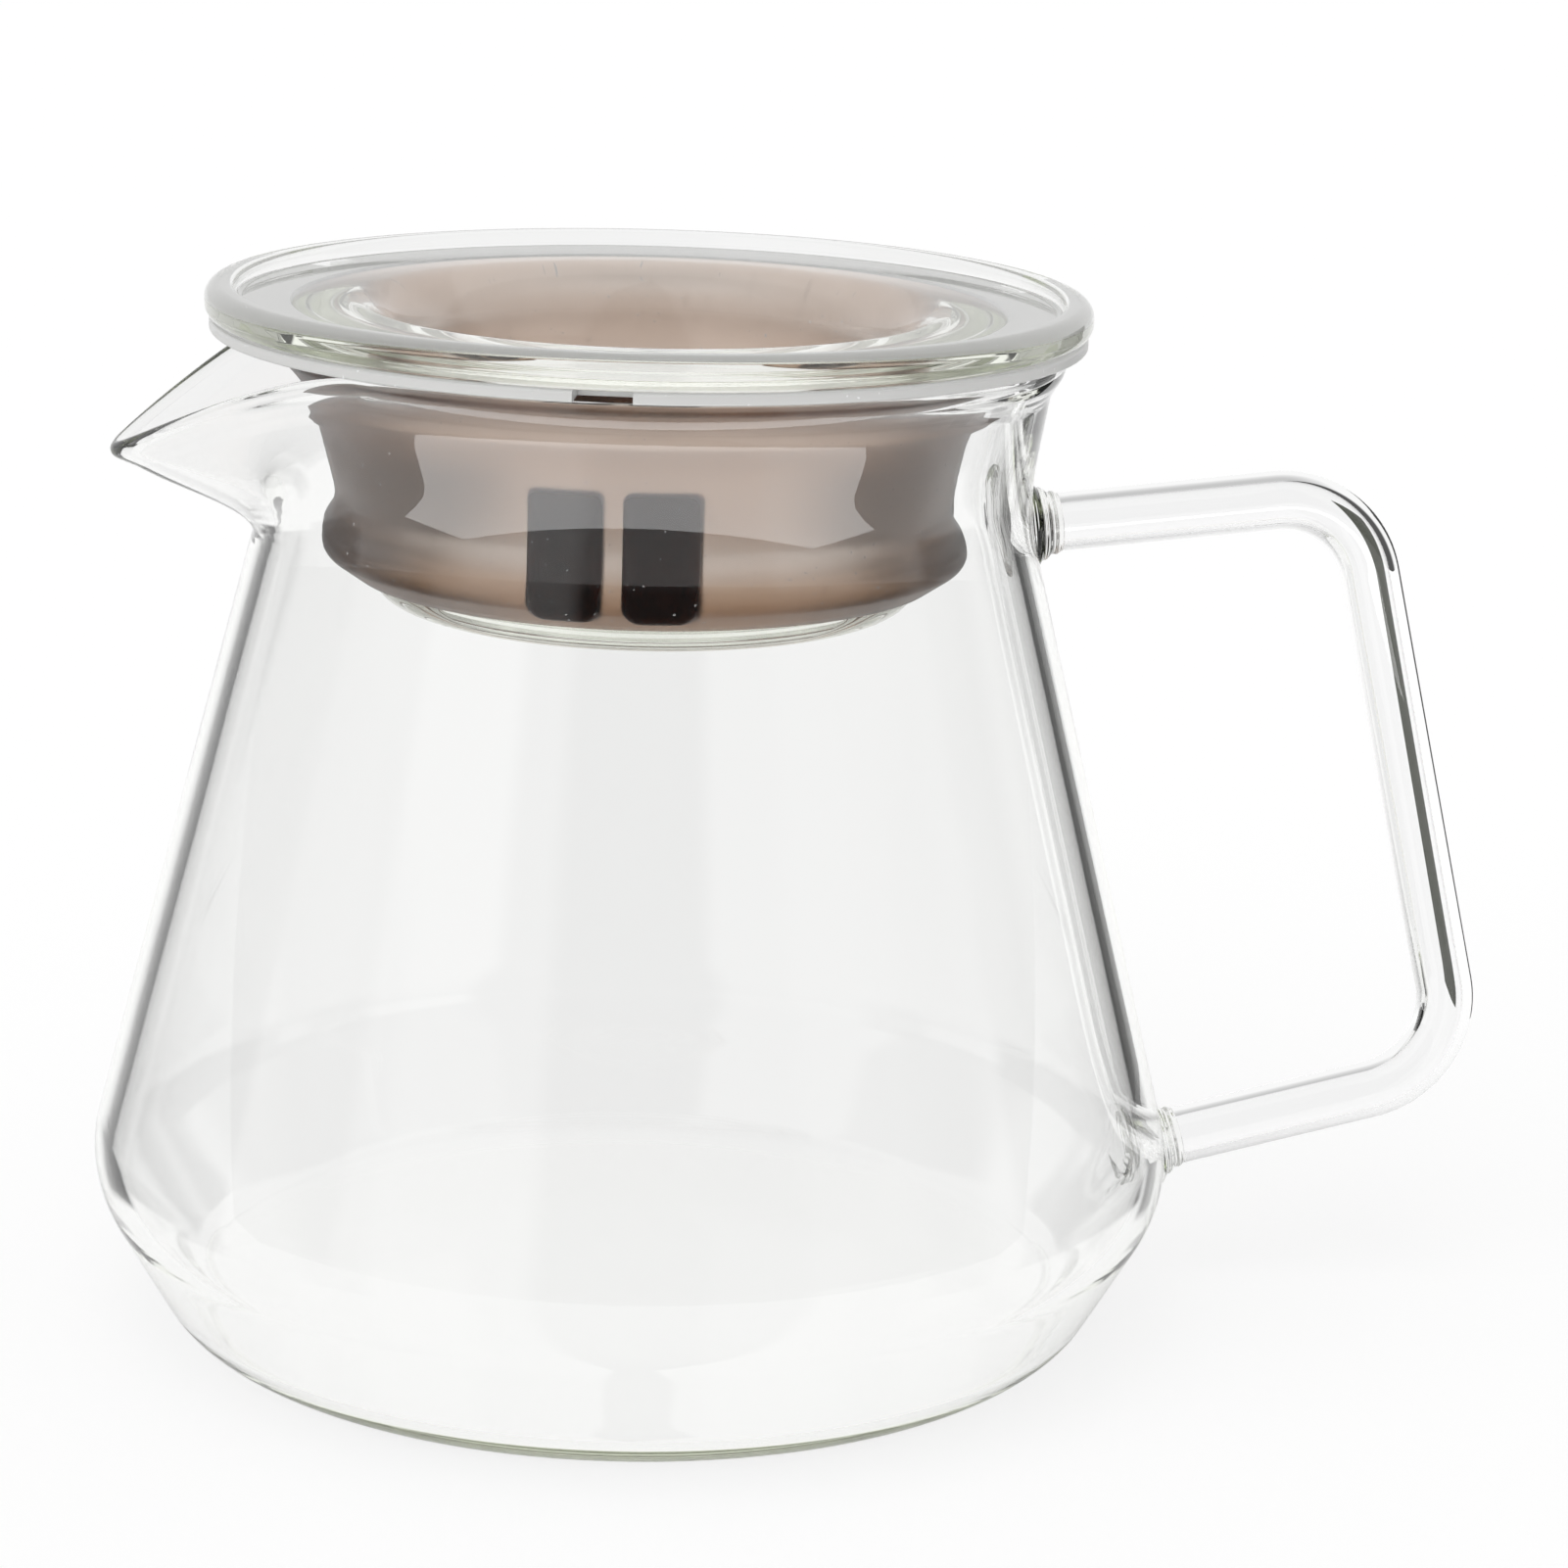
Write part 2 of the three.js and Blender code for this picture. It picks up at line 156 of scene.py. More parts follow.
# Fineness of the meshes.
BODY_COLUMNS = 360
LATHE_COLUMNS = 256
ROD_SIDES = 64
WELD_COLUMNS = 96
WELD_RING_STEPS = 12
LIP_STEPS = 12
LUG_EDGE_STEPS = 8
ARC_STEP = math.radians(3)
MIN_ARC_STEPS = 2
STRAIGHT_STEP = 1.5
SAME_POINT = 1e-6
SHARP_ANGLE = 40
LUG_SHARP_ANGLE = 50

# Camera of the photograph: where it stands, how it is turned, and its lens.
CAMERA_PLACE = (-58.5, -476.4, 185.1)
CAMERA_HEADING = 8.904
CAMERA_PITCH = 14.547
CAMERA_ROLL = 1.765
SENSOR_WIDTH = 36.0
LENS = 102.85


def unit(vectors):
    return vectors / np.linalg.norm(vectors, axis=-1, keepdims=True)


def side_from(corner, other):
    """Direction from a corner to the next, and the length that its round may use of that side."""
    side = np.array(other[:2]) - np.array(corner[:2])
    length = np.linalg.norm(side)
    room = length / 2 if other[2] else length
    return side / length, room


def corner_arc(before, corner, after):
    """Points of the arc that rounds a corner between its two neighbours."""
    back, back_room = side_from(corner, before)
    ahead, ahead_room = side_from(corner, after)
    here = np.array(corner[:2])
    half = math.acos(np.clip(back @ ahead, -1, 1)) / 2
    cut = min(corner[2] / math.tan(half), back_room, ahead_room)
    centre = here + unit(back + ahead) * cut / math.cos(half)
    arm = here + back * cut - centre
    cross = ahead[0] * back[1] - ahead[1] * back[0]
    sweep = (math.pi - 2 * half) * np.sign(cross)
    steps = max(MIN_ARC_STEPS, math.ceil(abs(sweep) / ARC_STEP))
    points = []
    for k in range(steps + 1):
        c = math.cos(sweep * k / steps)
        s = math.sin(sweep * k / steps)
        points.append(centre + np.array([c * arm[0] - s * arm[1], s * arm[0] + c * arm[1]]))
    return points


def rounded(corners):
    """Points of an outline of corners (r, z, round), with an arc at each round."""
    points = []
    for i, corner in enumerate(corners):
        if corner[2] == 0:
            points.append(np.array(corner[:2]))
        else:
            points += corner_arc(corners[i - 1], corner, corners[(i + 1) % len(corners)])
    return np.array(points)


def stepped(points):
    """The same outline with no side longer than a step, and no point twice."""
    fine = [points[0]]
    for low, high in zip(points[:-1], points[1:]):
        length = np.linalg.norm(high - low)
        parts = math.ceil(length / STRAIGHT_STEP) if length > SAME_POINT else 0
        fine += [low + (high - low) * k / parts for k in range(1, parts + 1)]
    return np.array(fine)


def mesh_object(name, vertices, faces):
    mesh = bpy.data.meshes.new(name)
    mesh.from_pydata((np.asarray(vertices) * MM).tolist(), [], faces)
    mesh.validate()
    made = bpy.data.objects.new(name, mesh)
    bpy.context.scene.collection.objects.link(made)
    return made


def loft(name, rings, closed):
    """A mesh through rings of points.

    Closed rings make a ring-shaped body, and open ones end in a middle point on each side.
    """
    count, size = rings.shape[:2]
    vertices = rings.reshape(-1, 3)
    faces = []
    for i in range(count if closed else count - 1):
        here = i * size
        above = ((i + 1) % count) * size
        for j in range(size):
            k = (j + 1) % size
            faces.append((here + j, here + k, above + k, above + j))
    if not closed:
        bottom = len(vertices)
        top = bottom + 1
        last = (count - 1) * size
        vertices = np.vstack([vertices, rings[0].mean(0), rings[-1].mean(0)])
        for j in range(size):
            k = (j + 1) % size
            faces.append((bottom, k, j))
            faces.append((top, last + j, last + k))
    return mesh_object(name, vertices, faces)


def lathe_rings(outline, columns):
    """Rings of points about +Z, one for each point (r, z) of an outline that runs anticlockwise."""
    turn = np.arange(columns) * 2 * math.pi / columns
    r, z = outline[:, 0, None], outline[:, 1, None]
    return np.stack([r * np.cos(turn), r * np.sin(turn), z + 0 * turn], axis=2)


def combined(piece, other, operation):
    """Joins another closed mesh to a piece, or cuts it away, and removes the other."""
    modifier = piece.modifiers.new(operation, "BOOLEAN")
    modifier.operation = operation
    modifier.solver = "MANIFOLD"
    modifier.object = other
    bpy.context.view_layer.update()
    evaluated = piece.evaluated_get(bpy.context.evaluated_depsgraph_get())
    result = bpy.data.meshes.new_from_object(evaluated)
    piece.modifiers.remove(modifier)
    piece.data = result
    bpy.data.objects.remove(other)
    return piece


def smooth(piece, angle):
    """Shades a piece smooth, apart from edges sharper than an angle."""
    piece.data.shade_smooth()
    piece.data.set_sharp_from_angle(angle=math.radians(angle))
    return piece


# Body with its spout.
def body_rows():
    """Points (r, z) of the body's outside, from beside the axis to the start of the lip."""
    outline = stepped(rounded([
        (0, 0, 0),
        (FOOT_RADIUS, 0, HEEL_ROUND),
        (SHOULDER_RADIUS, SHOULDER_HEIGHT, SHOULDER_ROUND),
        (NECK_RADIUS, NECK_HEIGHT, NECK_ROUND),
        (LIP_ROOT_RADIUS, LIP_ROOT_HEIGHT, LIP_ROUND),
        (RIM_RADIUS, LIP_START - LIP_STRAIGHT, LIP_WALL + LIP_STRAIGHT),
        (RIM_RADIUS, LIP_START, 0),
    ]))
    return outline[1:]


BODY_ROWS = body_rows()


def spout_pull(turn):
    """How far the spout pulls the rim out at an angle.

    Its sides are straight and tangent to the rim, and its tip is round.
    """
    off = np.hypot(math.pi - np.arccos(np.cos(turn)), TIP_BLUNT)
    inwards = np.maximum(SPOUT_HALF_ANGLE - off, 0)
    return RIM_RADIUS / np.cos(inwards) - RIM_RADIUS


def body_skin():
    """Points of the body's outside, by row of its outline and by angle."""
    turn = np.arange(BODY_COLUMNS) * 2 * math.pi / BODY_COLUMNS
    r, z = BODY_ROWS[:, 0, None], BODY_ROWS[:, 1, None]
    pull = spout_pull(turn)
    rise = np.clip((z - SPOUT_ROOT) / SPOUT_DEPTH, 0, 1)
    eased = rise * rise * (3 - 2 * rise)
    out = r + pull * eased
    down = SPOUT_DIP * (pull / SPOUT_REACH) ** SPOUT_EDGE_POWER * rise
    return np.stack([out * np.cos(turn), out * np.sin(turn), z - down], axis=2)


def body_radius_at(height):
    rows = BODY_ROWS[:, 1].argsort(kind="stable")
    return float(np.interp(height, BODY_ROWS[rows, 1], BODY_ROWS[rows, 0]))


def bar(height, rise):
    """Where a bar of the handle meets the wall, and its direction, in the plane of the handle."""
    tilt = math.radians(rise)
    place = np.array([body_radius_at(height), height])
    return place, np.array([math.cos(tilt), math.sin(tilt)])


BARS = (bar(UPPER_WELD_HEIGHT, TOP_BAR_RISE), bar(LOWER_WELD_HEIGHT, FOOT_BAR_RISE))


def in_space(point):
    """A point or direction of the handle's plane in space."""
    return np.array([point[0], 0, point[1]])


def imprint(inside, place, direction):
    """Height of the soft ring that a weld leaves on the inside of the wall, at each point."""
    arm = inside - in_space(place)
    along = arm @ in_space(direction)
    off = np.sqrt(np.maximum((arm ** 2).sum(2) - along ** 2, 0))
    ridge = IMPRINT_HEIGHT * np.exp(-(((off - IMPRINT_RADIUS) / IMPRINT_WIDTH) ** 2))
    return ridge * (np.abs(along) < 2 * IMPRINT_RADIUS)


def body_piece():
    outside = body_skin()
    up = unit(np.gradient(outside, axis=0))
    around = unit(np.roll(outside, -1, axis=1) - np.roll(outside, 1, axis=1))
    outwards = unit(np.cross(around, up))
    wall = np.interp(BODY_ROWS[:, 1], (NECK_HEIGHT, LIP_ROOT_HEIGHT), (WALL, LIP_WALL))
    inside = outside - wall[:, None, None] * outwards
    for place, direction in BARS:
        inside = inside - imprint(inside, place, direction)[:, :, None] * outwards
    inside[:, :, 2] = np.maximum(inside[:, :, 2], BASE_THICKNESS)
    middle = (outside[-1] + inside[-1]) / 2
    lip = []
    for k in range(1, LIP_STEPS):
        tilt = math.pi * k / LIP_STEPS
        arm = math.cos(tilt) * outwards[-1] + math.sin(tilt) * up[-1]
        lip.append(middle + LIP_WALL / 2 * arm)
    rings = np.concatenate([outside, np.array(lip), inside[::-1]])
    return loft("carafe_glass", rings, closed=False)


# Handle, its welds, and the whole piece of fused glass.
def handle_rod():
    (top, top_way), (foot, foot_way) = BARS
    line = stepped(rounded([
        (*(top + top_way * WELD_LENGTH / 2), 0),
        (*(top + top_way * TOP_BAR_LENGTH), ROD_BEND),
        (*(foot + foot_way * FOOT_BAR_LENGTH), ROD_BEND),
        (*(foot + foot_way * WELD_LENGTH / 2), 0),
    ]))
    along = unit(np.gradient(line, axis=0))
    turn = np.arange(ROD_SIDES) * 2 * math.pi / ROD_SIDES
    across = ROD_RADIUS * np.cos(turn)
    x = line[:, 0, None] - along[:, 1, None] * across
    z = line[:, 1, None] + along[:, 0, None] * across
    y = ROD_RADIUS * np.sin(turn) + 0 * x
    return loft("rod", np.stack([x, y, z], axis=2), closed=False)


def weld(place, direction):
    """A gather of glass that flares from the rod to the wall in a few soft rings."""
    t = np.linspace(0, 1, WELD_RING_STEPS * WELD_RINGS + 1)
    flare = ROD_RADIUS + (WELD_RADIUS - ROD_RADIUS) * (1 - t) ** 2
    ripple = WELD_RIPPLE * np.sin(math.pi * WELD_RINGS * t) ** 2
    profile = np.stack([flare + ripple, WELD_LENGTH * t], axis=1)
    sunk = np.array([[WELD_RADIUS, -WELD_SINK]])
    rings = lathe_rings(np.concatenate([sunk, profile]), WELD_COLUMNS)
    gather = loft("weld", rings, closed=False)
    turn = Vector((0, 0, 1)).rotation_difference(Vector(in_space(direction)))
    shift = Matrix.Translation(Vector(in_space(place)) * MM)
    gather.data.transform(shift @ turn.to_matrix().to_4x4())
    return gather


def carafe():
    glass = combined(body_piece(), handle_rod(), "UNION")
    for place, direction in BARS:
        combined(glass, weld(place, direction), "UNION")
    return smooth(glass, SHARP_ANGLE)


# Lid.
def lid():
    outline = stepped(rounded([
        (0, WELL_BOTTOM, 0),
        (WELL_RADIUS, WELL_BOTTOM, WELL_CORNER_ROUND),
        (WELL_RADIUS, FLANGE_BOTTOM, WELL_ROOT_ROUND),
        (LID_RADIUS, FLANGE_BOTTOM, LID_BEAD_ROUND),
        (LID_RADIUS, LID_BEAD_TOP, LID_BEAD_ROUND),
        (LID_RADIUS - LID_BEAD_WIDTH, LID_BEAD_TOP, LID_BEAD_ROUND),
        (LID_RADIUS - LID_BEAD_WIDTH, FLANGE_TOP, LID_BEAD_ROUND),
        (WELL_INSIDE, FLANGE_TOP, WELL_MOUTH_ROUND),
        (WELL_INSIDE, WELL_FLOOR, WELL_CORNER_ROUND),
        (0, WELL_FLOOR, 0),
    ]))
    rings = lathe_rings(outline[1:-1], LATHE_COLUMNS)
    return smooth(loft("lid_pressed_glass", rings, closed=False), SHARP_ANGLE)


# Seal: ring, washer and lugs.
def pair_angles():
    return [FIRST_PAIR_ANGLE + FULL_TURN * pair / LUG_PAIRS for pair in range(LUG_PAIRS)]


def seal_ring():
    """The ring of the seal: bore, bead, waist and trumpet, up to its washer."""
    outline = stepped(rounded([
        (SEAL_BORE, SEAL_BOTTOM, 0),
        (SEAL_BORE + SEAL_FOOT, SEAL_BOTTOM, 0),
        (BEAD_RADIUS, BEAD_HEIGHT, BEAD_ROUND),
        (WAIST_RADIUS, WAIST_HEIGHT, WAIST_ROUND),
        (TRUMPET_RADIUS, TRUMPET_HEIGHT, TRUMPET_ROUND),
        (TRUMPET_TOP, WASHER_BOTTOM, TRUMPET_EDGE),
        (SEAL_BORE + SEAL_FILLET, WASHER_BOTTOM, 0),
        (SEAL_BORE, WASHER_BOTTOM, SEAL_FILLET),
    ]))
    rings = lathe_rings(outline, LATHE_COLUMNS)
    return smooth(loft("seal_ring", rings, closed=True), SHARP_ANGLE)


def box_piece(low, high, turn):
    """A closed box, turned about +Z."""
    corners = [(x, y, z)
               for x in (low[0], high[0])
               for y in (low[1], high[1])
               for z in (low[2], high[2])]
    faces = [(0, 1, 3, 2), (4, 6, 7, 5), (0, 4, 5, 1), (2, 3, 7, 6), (0, 2, 6, 4), (1, 5, 7, 3)]
    made = mesh_object("box", corners, faces)
    made.data.transform(Matrix.Rotation(math.radians(turn), 4, "Z"))
    return made


def seal_washer():
    """The thin washer between lid and rim, with a vent over each pair of lugs."""
    outline = stepped(rounded([
        (WASHER_BORE, WASHER_BOTTOM + SKIN_GAP, 0),
        (WASHER_RADIUS, WASHER_BOTTOM + SKIN_GAP, WASHER_ROUND),
        (WASHER_RADIUS, WASHER_TOP, WASHER_ROUND),
        (WASHER_BORE, WASHER_TOP, 0),
    ]))
    washer = loft("seal_washer", lathe_rings(outline, LATHE_COLUMNS), closed=True)
    for angle in pair_angles():
        low = (WASHER_RADIUS - VENT_DEPTH, -VENT_WIDTH / 2, WASHER_BOTTOM - VENT_MARGIN)
        high = (WASHER_RADIUS + VENT_DEPTH, VENT_WIDTH / 2, WASHER_TOP + VENT_MARGIN)
        combined(washer, box_piece(low, high, angle), "DIFFERENCE")
    return smooth(washer, SHARP_ANGLE)


def lug_layers():
    """How far each layer of a lug is set in from its outline, and its radius, from root to face."""
    layers = [(0, LUG_ROOT)]
    for tilt in np.linspace(0, math.pi / 2, LUG_EDGE_STEPS):
        inset = LUG_EDGE * (1 - math.cos(tilt))
        layers.append((inset, LUG_RADIUS - LUG_EDGE * (1 - math.sin(tilt))))
    return layers


def lug(name, angle, side):
    """A block that bridges the waist of the seal, with a curved face and soft edges."""
    middle = side * (LUG_WIDTH + LUG_GAP) / 2
    half = LUG_WIDTH / 2
    face = stepped(rounded([
        (middle - half, LUG_BOTTOM, LUG_ROUND),
        (middle + half, LUG_BOTTOM, LUG_ROUND),
        (middle + half, LUG_TOP, LUG_TOP_ROUND),
        (middle - half, LUG_TOP, LUG_TOP_ROUND),
    ]))
    centre = np.array([middle, (LUG_BOTTOM + LUG_TOP) / 2])
    rings = []
    for inset, radius in lug_layers():
        shrink = 1 - inset / half
        y, z = (centre + (face - centre) * shrink).T
        rings.append(np.stack([np.sqrt(radius ** 2 - y ** 2), y, z], axis=1))
    made = loft(name, np.array(rings), closed=False)
    made.data.transform(Matrix.Rotation(math.radians(angle), 4, "Z"))
    return smooth(made, LUG_SHARP_ANGLE)


# Finishes. In a tinted material light fades at a rate of (1 - tint) times the density, per metre.
WHITE = (1, 1, 1, 1)
GLASS_IOR = 1.47
GLASS_TINT = (0.7, 0.89, 0.1)
BODY_DENSITY = 2
LID_DENSITY = 1.5
WAVE_SCALE = 70
WAVE_DETAIL = 1
WAVE_HEIGHT = 0.01
SILICONE_IOR = 1.41
SMOKE_TINT = (0.62, 0.42, 0.26)
RING_SKIN = (0.95, 0.93, 0.92)
RING_LOW_SKIN = (0.64, 0.5, 0.39)
RING_ROUGHNESS = 0.36
RING_DENSITY = 172
WASHER_SKIN = (0.58, 0.58, 0.57)
WASHER_ROUGHNESS = 0.35
LUG_SKIN = (0.3, 0.22, 0.16)
LUG_IOR = 1.15
LUG_ROUGHNESS = 0.3
LUG_DENSITY = 1800
SPECK_COLOUR = (0.8, 0.8, 0.8)
SPECK_SCALE = 2300
SPECK_DETAIL = 0
SPECK_START = 0.81
SPECK_FULL = 0.83


def dress(piece, material):
    """Gives a whole piece one material."""
    piece.data.materials.clear()
    piece.data.materials.append(material)
    piece.data.polygons.foreach_set("material_index", [0] * len(piece.data.polygons))


def node_material(name):
    """A new material with an empty node tree."""
    material = bpy.data.materials.new(name)
    material.use_nodes = True
    material.node_tree.nodes.clear()
    return material, material.node_tree


def new_node(tree, kind, **sockets):
    """A new shader node with some sockets set by name, where _ stands for a space."""
    node = tree.nodes.new("ShaderNode" + kind)
    for name, value in sockets.items():
        node.inputs[name.replace("_", " ")].default_value = value
    return node


def mixed(tree, factor, first, second):
    """A mix of two shaders: the first where the factor is 0, the second where it is 1."""
    mix = new_node(tree, "MixShader")
    tree.links.new(factor, mix.inputs[0])
    tree.links.new(first.outputs[0], mix.inputs[1])
    tree.links.new(second.outputs[0], mix.inputs[2])
    return mix.outputs[0]


def absorb(material, tint, density):
    """Tints a material by the depth of it that light crosses."""
    tree = material.node_tree
    depth = new_node(tree, "VolumeAbsorption", Color=(*tint, 1), Density=density)
    tree.links.new(depth.outputs[0], tree.get_output_node("ALL").inputs["Volume"])


def clear_glass(name, density):
    """Glass with a faint tint in depth, a slightly uneven surface, and light shadows."""
    material, tree = node_material(name)
    output = new_node(tree, "OutputMaterial")
    glass = new_node(tree, "BsdfPrincipled", Base_Color=WHITE, Roughness=0, IOR=GLASS_IOR,
                     Transmission_Weight=1)
    place = new_node(tree, "TexCoord")
    noise = new_node(tree, "TexNoise", Scale=WAVE_SCALE, Detail=WAVE_DETAIL)
    bump = new_node(tree, "Bump", Strength=1, Distance=WAVE_HEIGHT * MM)
    tree.links.new(place.outputs["Object"], noise.inputs["Vector"])
    tree.links.new(noise.outputs["Fac"], bump.inputs["Height"])
    tree.links.new(bump.outputs["Normal"], glass.inputs["Normal"])
    clear = new_node(tree, "BsdfTransparent")
    path = new_node(tree, "LightPath")
    surface = mixed(tree, path.outputs["Is Shadow Ray"], glass, clear)
    tree.links.new(surface, output.inputs["Surface"])
    absorb(material, GLASS_TINT, density)
    return material


def silicone(name, skin, ior, roughness, clearness):
    """Smoke silicone: a satin skin that blurs what is behind it, with a few pale specks."""
    material, tree = node_material(name)
    output = new_node(tree, "OutputMaterial")
    rubber = new_node(tree, "BsdfPrincipled", Base_Color=(*skin, 1), Roughness=roughness, IOR=ior,
                      Transmission_Weight=clearness)
    rubber.name = "skin"
    speck = new_node(tree, "BsdfDiffuse", Color=(*SPECK_COLOUR, 1))
    place = new_node(tree, "TexCoord")
    noise = new_node(tree, "TexNoise", Scale=SPECK_SCALE, Detail=SPECK_DETAIL)
    where = new_node(tree, "MapRange", From_Min=SPECK_START, From_Max=SPECK_FULL)
    tree.links.new(place.outputs["Object"], noise.inputs["Vector"])
    tree.links.new(noise.outputs["Fac"], where.inputs["Value"])
    surface = mixed(tree, where.outputs["Result"], rubber, speck)
    tree.links.new(surface, output.inputs["Surface"])
    return material


def brown_bead(material, low_skin, skin):
    """Makes the thick bead at the foot of the ring browner than the wall above it."""
    tree = material.node_tree
    place = new_node(tree, "TexCoord")
    split = new_node(tree, "SeparateXYZ")
    level = new_node(tree, "MapRange", From_Min=BEAD_HEIGHT * MM, From_Max=WAIST_HEIGHT * MM)
    tone = new_node(tree, "ValToRGB")
    tone.color_ramp.elements[0].color = (*low_skin, 1)
    tone.color_ramp.elements[1].color = (*skin, 1)
    tree.links.new(place.outputs["Object"], split.inputs[0])
    tree.links.new(split.outputs["Z"], level.inputs["Value"])
    tree.links.new(level.outputs["Result"], tone.inputs["Fac"])
    tree.links.new(tone.outputs["Color"], tree.nodes["skin"].inputs["Base Color"])


# Pieces, each dressed and riding on its body.
carafe_glass = carafe()
dress(carafe_glass, clear_glass("clear_glass", BODY_DENSITY))
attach(carafe_glass, "carafe")
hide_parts("carafe_body", "handle_rod", "handle_upper_weld", "handle_lower_weld")

lid_glass = lid()
dress(lid_glass, clear_glass("lid_glass", LID_DENSITY))
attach(lid_glass, "lid")
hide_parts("lid_glass")

ring = seal_ring()
ring_finish = silicone("smoke_silicone", RING_SKIN, SILICONE_IOR, RING_ROUGHNESS, clearness=1)
brown_bead(ring_finish, RING_LOW_SKIN, RING_SKIN)
absorb(ring_finish, SMOKE_TINT, RING_DENSITY)
dress(ring, ring_finish)
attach(ring, "seal")
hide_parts("lid_seal")

washer = seal_washer()
dress(washer, silicone("thin_silicone", WASHER_SKIN, SILICONE_IOR, WASHER_ROUGHNESS, clearness=0))
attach(washer, "seal")

lug_finish = silicone("thick_silicone", LUG_SKIN, LUG_IOR, LUG_ROUGHNESS, clearness=1)
absorb(lug_finish, SMOKE_TINT, LUG_DENSITY)
for pair, angle in enumerate(pair_angles()):
    for side, hand in ((-1, "left"), (1, "right")):
        block = lug(f"seal_lug_{pair + 1}_{hand}", angle, side)
        dress(block, lug_finish)
        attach(block, "seal")

# Studio: a white set, as grey levels by heading, in degrees from +Y towards +X, with straight lines
# between them. A height in the set is the Z of a direction of length 1.
SEAM = 180
SET_LEVEL = 0.95
AMBIENT = 0.65

# Flags behind the object, a little below eye level, draw dark edges in the walls of the glass.
FLAGS = (
    (-120, 1), (-114, 0.5), (-104, 0.5), (-98, 1),
    (-78, 1), (-74, 0.15), (-60, 0.15), (-56, 1),
    (-40, 1), (-36, 0.06), (-21, 0.06), (-17, 0.6), (-12, 1),
    (30, 1), (33, 0.2), (41, 0.2), (45, 1),
    (102, 1), (108, 0.5), (118, 0.5), (124, 1),
    (146, 1), (152, 0.5), (162, 0.5), (168, 1),
)
FLAGS_HEIGHTS = (-0.36, 0.14)
FLAG_SOFTNESS = 0.03

# Flags at the sides darken the ends of the seal.
SIDE_FLAGS = (
    (-80, 1), (-77, 0.05), (-40, 0.05), (-36, 1),
    (44, 1), (48, 0.05), (94, 0.05), (98, 1),
)
SIDE_HEIGHTS = (-0.29, 0.2)

# The side of the camera is dim, and so is the set above it, apart from one pale panel.
FRONT = ((146, 1), (152, 0.2), (204, 0.2), (210, 1))
HIGH_FRONT = (
    (60, 1), (70, 0.35), (204, 0.35), (208, 0.9),
    (249, 0.9), (253, 0.35), (290, 0.35), (300, 1),
)
HIGH_FRONT_HEIGHTS = (0.05, 0.7)

# What a reflection shows: a dim room with a pale window on the left.
MIRRORED = (
    (-50, 1), (-75, 0.1), (-108, 0.1), (-112, 0.5),
    (-150, 0.5), (-156, 0.1), (-275, 0.1), (-284, 1),
)
CEILING_START = 0.7
CEILING_END = 0.95
CEILING_LEVEL = 0.6

# Surfaces that a look crosses in the rod of the handle, and in both walls of the body.
ROD_SURFACES = 2
BODY_SURFACES = 4
SAME_COUNT = 0.5

# A soft sun, and a floor of white paper that partly shows as plain white.
SUN_STRENGTH = 1.6
SUN_SIZE = 60
SUN_FROM = (-400, -500, 900)
PAPER = 0.95
GLOW_SHARE = 0.75
FLOOR_HALF = 9000

# A bright card lies level in front of the object.
CARD_NEAR = 76
CARD_FAR = 150
CARD_HALF_WIDTH = 160
CARD_HEIGHT = 50
CARD_LEVEL = 5.4

# A dark card stands behind the handle, facing the axis.
DARK_HEADING = 62.3
DARK_DISTANCE = 170
DARK_HALF_WIDTH = 26
DARK_FOOT = 0
DARK_TOP = 120
DARK_LEVEL = 0.08

# A look through the body, the seal and the lid meets many surfaces of glass.
GLASS_BOUNCES = 40


def grey(level):
    return (level, level, level, 1)


def arithmetic(tree, kind, *values):
    """The result of a maths node whose inputs are numbers or sockets."""
    node = new_node(tree, "Math")
    node.operation = kind
    for socket, value in zip(node.inputs, values):
        if isinstance(value, (int, float)):
            socket.default_value = value
        else:
            tree.links.new(value, socket)
    return node.outputs[0]


def blend(tree, factor, low, high):
    """Low where the factor is 0, high where it is 1."""
    low_share = arithmetic(tree, "SUBTRACT", 1, factor)
    low_part = arithmetic(tree, "MULTIPLY", low_share, low)
    return arithmetic(tree, "ADD", arithmetic(tree, "MULTIPLY", factor, high), low_part)


def levels(tree, share, stops):
    """Grey level at a share of the turn round the set, from stops of heading and grey."""
    ramp = new_node(tree, "ValToRGB")
    tree.links.new(share, ramp.inputs["Fac"])
    elements = ramp.color_ramp.elements
    first = min(stops, key=lambda stop: (stop[0] - SEAM) % FULL_TURN)
    elements[0].color = grey(first[1])
    elements[1].color = grey(first[1])
    for heading, level in stops:
        elements.new((heading - SEAM) % FULL_TURN / FULL_TURN).color = grey(level)
    return ramp.outputs["Color"]


def climb(tree, height, low, high):
    """Goes from 0 to 1 as the height goes from low to high."""
    ramp = new_node(tree, "MapRange", From_Min=low, From_Max=high)
    tree.links.new(height, ramp.inputs["Value"])
    return ramp.outputs["Result"]


def flagged(tree, share, height, stops, heights):
    """Grey levels that hold between two heights, and white below and above them."""
    low, high = heights
    entered = climb(tree, height, low - FLAG_SOFTNESS, low)
    passed = climb(tree, height, high, high + FLAG_SOFTNESS)
    inside = arithmetic(tree, "SUBTRACT", entered, passed)
    return blend(tree, inside, 1, levels(tree, share, stops))


def straight_look(tree, path):
    """Is 1 for a look straight through one or both walls of the body, which meets no mirror.

    Ray Depth counts the set itself as one more surface.
    """
    met = arithmetic(tree, "SUBTRACT", path.outputs["Ray Depth"], 1)
    crossed = path.outputs["Transmission Depth"]
    unmirrored = arithmetic(tree, "COMPARE", met, crossed, SAME_COUNT)
    few = arithmetic(tree, "LESS_THAN", crossed, BODY_SURFACES + SAME_COUNT)
    return arithmetic(tree, "MULTIPLY", unmirrored, few)


